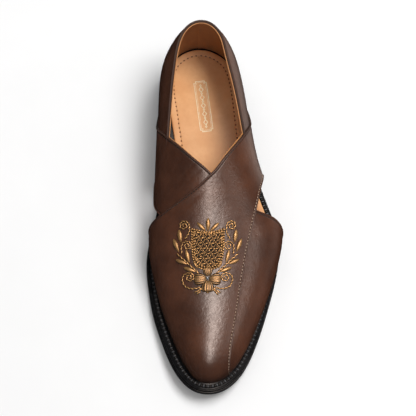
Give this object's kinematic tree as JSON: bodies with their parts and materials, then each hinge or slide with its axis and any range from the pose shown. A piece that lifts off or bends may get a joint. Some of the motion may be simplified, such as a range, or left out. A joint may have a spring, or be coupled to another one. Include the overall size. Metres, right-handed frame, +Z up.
{
  "type": "peshawari sandal",
  "caption": "Closed-heel leather sandal whose broad crossed straps run on as the vamp and toe, on a welted sole with a low stacked heel.",
  "frame": {"origin": "on the ground under the middle of the heel, at the heel_rest mount", "axes": "+Z up, the toe points to -Y, the medial side is -X and the lateral side is +X"},
  "size_m": [0.1113, 0.298, 0.0889],
  "materials": {
    "brown_leather": "dark brown calf, semi-gloss with a fine grain",
    "insole_leather": "tan vegetable tanned leather, matt to satin",
    "welt_leather": "black dyed and waxed edge",
    "outsole_leather": "dark grey to black sole leather, edge burnished",
    "heel_leather": "black waxed stacked lifts",
    "heel_rubber": "black rubber, matt"
  },
  "bodies": {
    "root": {"upper": "brown_leather", "insole": "insole_leather", "welt": "welt_leather", "outsole": "outsole_leather", "heel_stack": "heel_leather", "heel_top_piece": "heel_rubber"}
  },
  "joints": []
}
